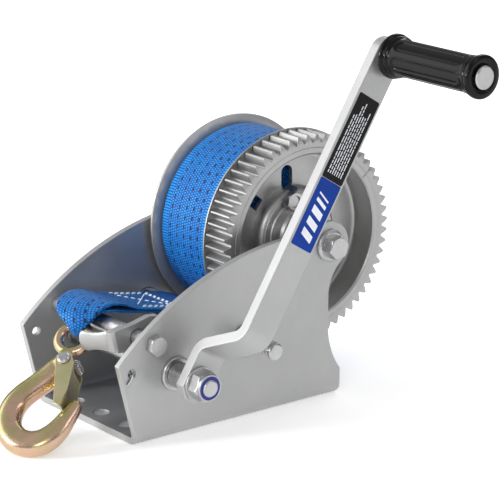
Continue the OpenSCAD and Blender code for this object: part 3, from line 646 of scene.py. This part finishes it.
def lead_rings():
    """Rings of the free strap, the rows of its path and the length run at each."""
    path = smooth_path(LEAD, LEAD_STEPS)
    spots = path[:, :3]
    ahead = np.gradient(spots, axis=0)
    run = np.concatenate([[0], np.cumsum(np.linalg.norm(np.diff(spots, axis=0), axis=1))])
    rings = []
    for i, (spot, head) in enumerate(zip(spots, ahead)):
        half, turn, pitch = float(path[i, 3]), math.radians(path[i, 4]), float(path[i, 5])
        wide = Vector((math.cos(turn), math.sin(turn), 0))
        out = Vector(head).cross(wide).normalized()
        narrow = min(max((BAND_W / 2 - half) / FOLD_ONSET, 0), 1)
        reach = min(BAND_W / 2, MOST_LAYERS * half)
        crown = CROWN * narrow * min(half / 12, 1)
        top, bottom = [], []
        for k in range(ACROSS_STEPS + 1):
            share = 2 * k / ACROSS_STEPS - 1
            bend = max((pitch if share < 0 else pitch / 2) * narrow, TIGHTEST_BEND)
            x, depth = folded(share * reach, max(half, 2.5 * bend), bend)
            arch = crown * (1 - (x / max(half, 1)) ** 2)
            ripple = RIPPLE * narrow * math.sin(share * 9 + float(run[i]) * 0.05)
            edge = min(1.0, 0.35 + (1 - abs(share)) * 14)
            thick = BAND_T / 2 * edge * (0.8 if narrow > 0.9 else 1)
            offset = (0.6 * pitch - 1.6) * narrow - depth + arch + ripple
            inward = -1 if depth > bend else 1
            base = Vector(spot) + x * wide
            top.append(base + (offset + thick * inward) * out)
            bottom.append(base + (offset - thick * inward) * out)
        rings.append(top + bottom[::-1])
    return rings, path, run


def add_lead():
    """The free strap, from under the roll to the hook's ring and back, and its stitching."""
    rings, path, run = lead_rings()
    shares = [k / ACROSS_STEPS for k in range(ACROSS_STEPS + 1)]
    flat = [(u * BAND_W * MM, length * MM) for length in run for u in shares + shares[::-1]]
    verts, faces = lofted(rings)
    band = bare_object("webbing_lead", verts, faces)
    add_band_map(band.data, flat)
    finish_piece(band, "frame", [MATERIALS["strap_blue"]], ["strap_lead"])
    stitches = add_stitching(path)


STITCH_L = 3.4
STITCH_GAP = 1.5
STITCH_R = 0.5
STITCH_END_R = 0.2
STITCH_STEPS = 5
# The sewn box: its front and rear in Y, its half width, and the space between its two rows
BOX_FRONT = -45
BOX_REAR = -9
BOX_HALF_W = 20
BOX_ROWS = (0, 2.6)
# The seams' height comes from the path's points wider than this, and from this many of the route's rows
FLAT_HALF_W = 24.9
FLAT_ROWS = 8


def add_stitching(path):
    """A sewn box with a cross, in white thread, through the strap where it lies double."""
    mid_x = path[0, 0]
    flat_run = [row for row in path if row[3] > FLAT_HALF_W][: FLAT_ROWS * LEAD_STEPS]
    ys = [row[1] for row in flat_run][::-1]
    zs = [row[2] for row in flat_run][::-1]
    radii = [STITCH_END_R] + [STITCH_R] * (STITCH_STEPS - 1) + [STITCH_END_R]
    parts = []

    def on_band(x, y, lift):
        z = np.interp(y, ys, zs)
        return Vector((mid_x + x, y, z + BAND_T / 2 + lift))

    def seam(x0, y0, x1, y1):
        length = math.hypot(x1 - x0, y1 - y0)
        count = int(length / (STITCH_L + STITCH_GAP))
        for i in range(count):
            spots = []
            for k in range(STITCH_STEPS + 1):
                s = (i * (STITCH_L + STITCH_GAP) + STITCH_L * k / STITCH_STEPS) / length
                lift = 0.4 * math.sin(math.pi * k / STITCH_STEPS) - 0.1
                spots.append(on_band(x0 + (x1 - x0) * s, y0 + (y1 - y0) * s, lift))
            parts.append(tube(spots, radii, 6))

    for inset in BOX_ROWS:
        half, front, rear = BOX_HALF_W - inset, BOX_FRONT + inset, BOX_REAR - inset
        seam(-half, front, half, front)
        seam(-half, rear, half, rear)
        seam(half, front, half, rear)
        seam(-half, front, -half, rear)
    seam(-BOX_HALF_W, BOX_FRONT, BOX_HALF_W, BOX_REAR)
    seam(BOX_HALF_W, BOX_FRONT, -BOX_HALF_W, BOX_REAR)
    verts, faces = join_parts(parts)
    stitches = bare_object("strap_stitching", verts, faces)
    return finish_piece(stitches, "frame", [THREAD_WHITE])


add_lead()

# ---------------------------------------------------------------- forged hook

HOOK_PIVOT = Vector((-7.4, -86.2, 67.5))
HOOK_TURN = math.radians(30)
HOOK_DROP = math.radians(37.6)
RING_R = 11.0
RING_BAR_R = 3.6
# From the hook's own plane, with the ring's middle at its origin, to the shared frame
IN_HOOK = (Matrix.Translation(HOOK_PIVOT) @ Matrix.Rotation(HOOK_TURN, 4, "Z")
           @ Matrix.Rotation(HOOK_DROP, 4, "X") @ Matrix.Translation((0, -RING_R, 0)))
# Middle of the hook's bar in its own plane, its half width there and its half thickness
HOOK_BAR = [
    (0, -11, 4.2, 4.0), (-0.5, -16, 5.2, 5.2), (-1.0, -20.5, 6.8, 6.6), (-2.6, -26, 8.0, 7.4),
    (-6.8, -33.5, 8.2, 7.2), (-12.6, -41.5, 8.1, 7.0), (-18.4, -49.5, 8.2, 7.1), (-21.8, -57.5, 8.4, 7.4),
    (-22.4, -65.5, 8.5, 7.7), (-20.6, -73.8, 8.8, 8.0), (-15.8, -80.3, 9.0, 7.9), (-8.4, -84.8, 8.9, 7.5),
    (0, -85.5, 8.7, 7.3), (7.0, -83.0, 8.4, 7.3), (12.2, -78.0, 8.0, 7.1), (15.6, -71.6, 7.3, 6.4),
    (17.7, -64.6, 6.5, 5.7), (19.2, -58.6, 5.8, 5.0), (20.3, -53.6, 5.1, 4.4), (20.9, -50.2, 4.2, 3.7),
    (21.2, -48.4, 2.6, 2.4),
]
SQUARENESS = 2.5
# The boss that the gate's rivet goes through: its middle, radius and half thickness
BOSS_AT = (2.5, -22.5)
BOSS_R = 6.6
BOSS_HALF_T = 7.9
HOOK_VOXEL_MM = 0.7
BAR_STEPS = 5


def oval(half_w, half_t, count=28):
    """Points of a rounded, slightly square section."""
    out = []
    for k in range(count):
        a = FULL_TURN * k / count
        c, s = math.cos(a), math.sin(a)
        out.append((half_w * math.copysign(abs(c) ** (2 / SQUARENESS), c),
                    half_t * math.copysign(abs(s) ** (2 / SQUARENESS), s)))
    return out


def bar_along(rows):
    """A bar whose middle lies in the hook's plane."""
    path = smooth_path(rows, BAR_STEPS)
    heads = np.gradient(path[:, :2], axis=0)
    rings = []
    for (x, y, half_w, half_t), head in zip(path, heads):
        side = Vector((head[1], -head[0])).normalized()
        rings.append([(x + a * side.x, y + a * side.y, b) for a, b in oval(half_w, half_t)])
    return lofted(rings)


def ring_bar(radius, bar, around=56, sides=18):
    """A round bar bent into a closed ring in the hook's plane."""
    verts, faces = [], []
    for i in range(around):
        a = FULL_TURN * i / around
        for k in range(sides):
            b = FULL_TURN * k / sides
            r = radius + bar * math.cos(b)
            verts.append((r * math.cos(a), r * math.sin(a), bar * math.sin(b)))
    for i in range(around):
        for k in range(sides):
            a, b = i * sides + k, i * sides + (k + 1) % sides
            faces.append((a, (a + sides) % len(verts), (b + sides) % len(verts), b))
    return verts, faces


def disc_boss(x, y, radius, half_t, sides=36):
    """A short cylinder through the hook's plane, with its edges bevelled by 1 mm."""
    angles = [FULL_TURN * k / sides for k in range(sides)]
    rings = []
    for r, z in ((radius - 1, -half_t), (radius, 1 - half_t), (radius, half_t - 1), (radius - 1, half_t)):
        rings.append([(x + r * math.cos(a), y + r * math.sin(a), z) for a in angles])
    return lofted(rings)


def add_hook():
    """Ring, shank, bowl and boss, fused into one forging."""
    parts = [ring_bar(RING_R, RING_BAR_R), bar_along(HOOK_BAR), disc_boss(*BOSS_AT, BOSS_R, BOSS_HALF_T)]
    verts, faces = join_parts(parts)
    hook = bare_object("forged_hook", [tuple(IN_HOOK @ Vector(v)) for v in verts], faces)
    remeshed(hook, HOOK_VOXEL_MM, 14)
    finish_piece(hook, "hook", [MATERIALS["gold_zinc"]], ["hook"])


# Middle of the gate's spring in the hook's plane
SPRING_AT = (11.4, -22.0)


def add_latch_spring():
    """Torsion spring beside the rivet, with one leg on the shank and one on the gate."""
    coil_r = 2.2
    turns = 5
    half_len = 5.6
    wire_r = 0.5
    start = math.radians(215)
    points = [(2.6, -30.5, -half_len), (6.5, -26.4, -half_len), (9.6, -23.6, -half_len)]
    steps = turns * 16
    for i in range(steps + 1):
        a = start + FULL_TURN * turns * i / steps
        z = -half_len + 2 * half_len * i / steps
        points.append((SPRING_AT[0] + coil_r * math.cos(a), SPRING_AT[1] + coil_r * math.sin(a), z))
    points += [(11.4, -26.5, half_len), (12.0, -31, half_len)]
    verts, faces = tube([IN_HOOK @ Vector(p) for p in points], [wire_r] * len(points), 8)
    spring = bare_object("gate_spring", verts, faces)
    finish_piece(spring, "hook", [MATERIALS["bright_steel"]], ["latch_spring"])


add_hook()
add_latch_spring()

# ---------------------------------------------------------------- pawl with its thumb paddle

PADDLE_LEAN = math.radians(14)
# Middle of the paddle in plan, and its half height, from the plate to the free end
PADDLE = [(38.0, 6.0, 9.0), (38.0, 2.0, 9.0), (37.4, -1.6, 8.8), (35.2, -4.6, 8.2), (31.8, -6.8, 7.3),
          (27.8, -8.8, 6.6), (23.8, -10.8, 6.7), (20.4, -12.5, 7.4), (18.0, -13.6, 7.5), (16.5, -14.3, 6.6),
          (15.6, -14.6, 4.6), (15.3, -14.7, 2.6)]
PADDLE_HALF_T = 2.1
# Where the paddle starts, as Y and Z from the tie rod's middle
PADDLE_FROM = (-14, 1)
PLATE_T = 5.0
PAWL_VOXEL_MM = 0.5


def add_pawl():
    """The plate keeps the CAD outline; the paddle is a waisted, rounded tongue that grows out of it."""
    node = frame["nodes"]["ratchet_pawl"]
    plate_x = (low_high("ratchet_pawl", 0)[1] - PLATE_T) * MM
    bm = bmesh.new()
    bm.from_mesh(node.data)
    bmesh.ops.remove_doubles(bm, verts=bm.verts, dist=WELD_MM * MM)
    everything = bm.verts[:] + bm.edges[:] + bm.faces[:]
    cut = bmesh.ops.bisect_plane(
        bm, geom=everything, plane_co=(plate_x, 0, 0), plane_no=(-1, 0, 0), clear_outer=True)
    edges = [e for e in cut["geom_cut"] if isinstance(e, bmesh.types.BMEdge)]
    bmesh.ops.holes_fill(bm, edges=edges, sides=0)
    bmesh.ops.triangulate(bm, faces=bm.faces)
    plate = ([tuple(v.co / MM) for v in bm.verts], [tuple(v.index for v in f.verts) for f in bm.faces])
    bm.free()
    rod = centre("tie_rod")
    root = Matrix.Translation((0, rod.y + PADDLE_FROM[0], rod.z + PADDLE_FROM[1]))
    to_world = root @ Matrix.Rotation(PADDLE_LEAN, 4, "X")
    path = smooth_path(PADDLE, 4)
    heads = np.gradient(path[:, :2], axis=0)
    rings = []
    for (x, y, half_h), head in zip(path, heads):
        side = Vector((head[1], -head[0])).normalized()
        rings.append([to_world @ Vector((x + a * side.x, y + a * side.y, b))
                      for a, b in oval(PADDLE_HALF_T, half_h, 24)])
    verts, faces = join_parts([plate, lofted(rings)])
    pawl = bare_object("pawl_and_paddle", verts, faces)
    remeshed(pawl, PAWL_VOXEL_MM, 4)
    finish_piece(pawl, "pawl", [MATERIALS["zinc_plate"]], ["ratchet_pawl"])


add_pawl()

# ---------------------------------------------------------------- moulded grip

GRIP_AROUND = 180
BODY_R = 12.5
BORE_R = 5.6
# Hollow panels: how many, where the first one's middle is, their half width, edge, depth and end
PANELS = 6
PANEL_TURN = math.radians(8)
PANEL_HALF = math.radians(20)
PANEL_EDGE = math.radians(3.5)
PANEL_DEPTH = 0.95
PANEL_END = 10.5
PANEL_CORNER = 4
# Ribs in pairs between the panels: how far from the middle of the pair, half width and height
RIB_OFF = math.radians(3.2)
RIB_HALF = math.radians(1.6)
RIB_H = 0.4
# Rows of the panelled stretch: the first, the space between them, and what they leave free of the length
BODY_FROM = 9
BODY_STEP = 0.75
BODY_SPARE = 17.5
# Distance from the nearer end and radius, at the two ends of the grip
INNER_END = [(0.0, 7.2), (0.0, 13.9), (0.3, 14.6), (0.9, 15.0), (2.4, 15.0), (3.0, 14.7), (3.4, 13.9),
             (3.8, 13.2), (4.6, 13.1), (5.2, 13.8), (6.0, 14.0), (6.8, 13.8), (7.4, 13.0), (8.0, BODY_R)]
OUTER_END = [(-7.6, BODY_R), (-7.0, 12.9), (-6.2, 13.1), (-5.4, 12.9), (-4.9, 12.6), (-4.3, 13.2),
             (-3.6, 14.0), (-2.8, 14.3), (-1.0, 14.3), (-0.4, 14.1), (0.0, 13.6), (0.0, 8.0),
             (-0.5, 7.8), (-0.5, BORE_R)]


def eased(value):
    """A smooth step from 0 to 1."""
    value = min(max(value, 0.0), 1.0)
    return value * value * (3 - 2 * value)


def grip_radius(along, turn, length):
    """Radius of the grip's body: hollowed panels between pairs of thin ribs."""
    pitch = FULL_TURN / PANELS
    off = abs((turn - PANEL_TURN + pitch / 2) % pitch - pitch / 2)
    ends = min(along - PANEL_END, length - PANEL_END - along)
    round_end = math.sqrt(max(0.0, 1 - min(1, max(0, 1 - ends / PANEL_CORNER)) ** 2))
    hollow = eased((PANEL_HALF * round_end - off) / PANEL_EDGE) if ends > 0 else 0
    from_rib = abs(abs(pitch / 2 - off) - RIB_OFF)
    rib = eased(1 - from_rib / RIB_HALF) * eased(ends / 3 + 0.4)
    return BODY_R - PANEL_DEPTH * hollow + RIB_H * rib


def add_grip():
    """A turned body with collars at its ends, a panelled middle and the bore for its pin."""
    axle = centre("grip")
    x_low, x_high = low_high("grip", 0)
    length = x_high - x_low
    rows = [(d, r, False) for d, r in INNER_END]
    body_rows = int((length - BODY_SPARE) / BODY_STEP)
    rows += [(BODY_FROM + BODY_STEP * k, BODY_R, True) for k in range(body_rows)]
    rows += [(length + d, r, False) for d, r in OUTER_END]
    rows.append((0.0, BORE_R, False))
    verts = []
    for along, radius, shaped in rows:
        for k in range(GRIP_AROUND):
            a = FULL_TURN * k / GRIP_AROUND
            r = grip_radius(along, a, length) if shaped else radius
            verts.append((x_low + along, axle.y + r * math.cos(a), axle.z + r * math.sin(a)))
    faces = []
    for i in range(len(rows)):
        here, after = i * GRIP_AROUND, (i + 1) % len(rows) * GRIP_AROUND
        for k in range(GRIP_AROUND):
            n = (k + 1) % GRIP_AROUND
            faces.append((here + k, here + n, after + n, after + k))
    grip = bare_object("ribbed_grip", verts, faces)
    finish_piece(grip, "grip", [MATERIALS["grip_black"]], ["grip"])


add_grip()

# ---------------------------------------------------------------- wire, threads and labels


# The hole in the side plate that the pawl's wire goes through, as Y and Z, and the wire's radius
WIRE_HOLE = (-90.4, 52.0)
WIRE_R = 0.95


def add_pawl_spring():
    """The pawl's wire spring, bent round at its outer end."""
    x_low, x_high = low_high("pawl_spring", 0)
    outer_x = x_high - 0.9
    inner_x = x_low + 0.9
    hole_y, hole_z = WIRE_HOLE
    route = [
        (outer_x, -94.2, 45.2), (outer_x, -92.6, 47.6), (outer_x, hole_y - 0.3, hole_z - 1.2),
        (x_high - 2.0, hole_y, hole_z), (x_low + 6, hole_y, hole_z), (x_low + 3, hole_y + 0.8, hole_z + 0.4),
        (inner_x, -84, 55), (inner_x, -81, 58), (inner_x, -79, 60.5),
    ]
    points = smooth_path(route, 6)
    verts, faces = tube(points, [WIRE_R] * len(points), 10)
    wire = bare_object("pawl_wire", verts, faces)
    finish_piece(wire, "frame", [MATERIALS["bright_steel"]], ["pawl_spring"])


THREAD_PITCH = 1.75
THREAD_H = 0.55
THREAD_SIDES = 40
THREAD_FADE = 12
THREAD_SUNK = 0.2
THREAD_ROOT = (0.8, -0.3)
THREAD_CREST_HALF_W = 0.12
M12_R = 6.0


def add_thread(name, node, body, x0, x1):
    """A screw thread's ridge wound round an M12 shaft that lies along X."""
    axle = centre(node)
    steps = int((x1 - x0) / THREAD_PITCH * THREAD_SIDES)
    root_half_w, root = THREAD_ROOT
    rings = []
    for i in range(steps + 1):
        a = FULL_TURN * i / THREAD_SIDES
        x = x0 + THREAD_PITCH * i / THREAD_SIDES
        crest = THREAD_H * min(1, i / THREAD_FADE, (steps - i) / THREAD_FADE) - THREAD_SUNK
        section = [(-root_half_w, root), (-THREAD_CREST_HALF_W, crest),
                   (THREAD_CREST_HALF_W, crest), (root_half_w, root)]
        ring = []
        for dx, dr in section:
            r = M12_R + dr
            ring.append((x + dx, axle.y + r * math.cos(a), axle.z + r * math.sin(a)))
        rings.append(ring)
    verts, faces = lofted(rings)
    ridge = bare_object(name, verts, faces)
    finish_piece(ridge, body, [MATERIALS["bright_steel"]])


# The arm's lean from +Y. Along the arm is measured from the crank's axis, and across it from its middle
ARM_LEAN = math.radians(57.9)
PRINT_T = 0.12
PRINT_LEVEL = 0.13
LABEL_HALF_W = 9.75
LABEL_CORNER = 1.2
BLUE_ENDS = (107, 155)
DARK_ENDS = (155.3, 216)
# The blue label's bars: where each starts and its width, and what they all share
BARS = [(114, 5), (122, 5), (130, 5), (138, 2.4), (143, 1.2)]
BAR_HALF_L = 5.2
BAR_CORNER = 0.3
BAR_LEAN = 0.35
# The dark label's ruled lines, from the top one down
RULED_ROWS = 7
RULED_TOP = 6.4
RULED_SPAN = 12.4
RULED_FROM = 159.5
RULED_HALF_W = 0.36
RULED_GAP = 0.7
RULED_CORNER = 0.15


def label_part(along0, along1, across0, across1, level, corner, lean=0.0):
    """One flat patch on the arm: its ends along the arm, its sides across it and its height."""
    corners = [(along1 - corner, across1 - corner, 0), (along0 + corner, across1 - corner, 90),
               (along0 + corner, across0 + corner, 180), (along1 - corner, across0 + corner, 270)]
    outline = []
    for cx, cy, start in corners:
        for k in range(5):
            a = math.radians(start + 90 * k / 4)
            outline.append((cx + corner * math.cos(a), cy + corner * math.sin(a)))
    middle = (across0 + across1) / 2
    axle = centre("crank_washer")
    face_x = low_high("arm_label", 0)[0]
    rings = []
    for z in (level, level + PRINT_T):
        ring = []
        for s, t in outline:
            s += lean * (t - middle)
            ring.append((face_x + z, axle.y + s * math.cos(ARM_LEAN) - t * math.sin(ARM_LEAN),
                         axle.z + s * math.sin(ARM_LEAN) + t * math.cos(ARM_LEAN)))
        rings.append(ring)
    return lofted(rings)


def add_labels():
    """Two plain printed labels: a blue one with slanted bars and a dark one with ruled lines."""
    blue = [label_part(*BLUE_ENDS, -LABEL_HALF_W, LABEL_HALF_W, 0, LABEL_CORNER)]
    dark = [label_part(*DARK_ENDS, -LABEL_HALF_W, LABEL_HALF_W, 0, LABEL_CORNER)]
    white = []
    for start, width in BARS:
        white.append(label_part(
            start, start + width, -BAR_HALF_L, BAR_HALF_L, PRINT_LEVEL, BAR_CORNER, BAR_LEAN))
    dice = random.Random(4)
    for row in range(RULED_ROWS):
        across = RULED_TOP - RULED_SPAN * row / (RULED_ROWS - 1)
        along = RULED_FROM
        end = dice.uniform(196, 211)
        while along < end:
            dash = dice.uniform(1.6, 5.2)
            below = across - RULED_HALF_W
            above = across + RULED_HALF_W
            white.append(label_part(along, along + dash, below, above, PRINT_LEVEL, RULED_CORNER))
            along += dash + RULED_GAP
    layers = [join_parts(layer) for layer in (blue, dark, white)]
    verts, faces = join_parts(layers)
    face_colour = [index for index, layer in enumerate(layers) for _ in layer[1]]
    labels = bare_object("printed_labels", verts, faces)
    for face, index in zip(labels.data.polygons, face_colour):
        face.material_index = index
        face.use_smooth = False
    finish_piece(labels, "crank", [MATERIALS["label"], LABEL_DARK, LABEL_WHITE], ["arm_label"])


add_pawl_spring()
add_thread("layshaft_thread", "layshaft", "layshaft", 80.9, 91.8)
add_thread("axle_bolt_thread", "drum_axle_bolt", "frame", -74.3, -72.9)
add_labels()
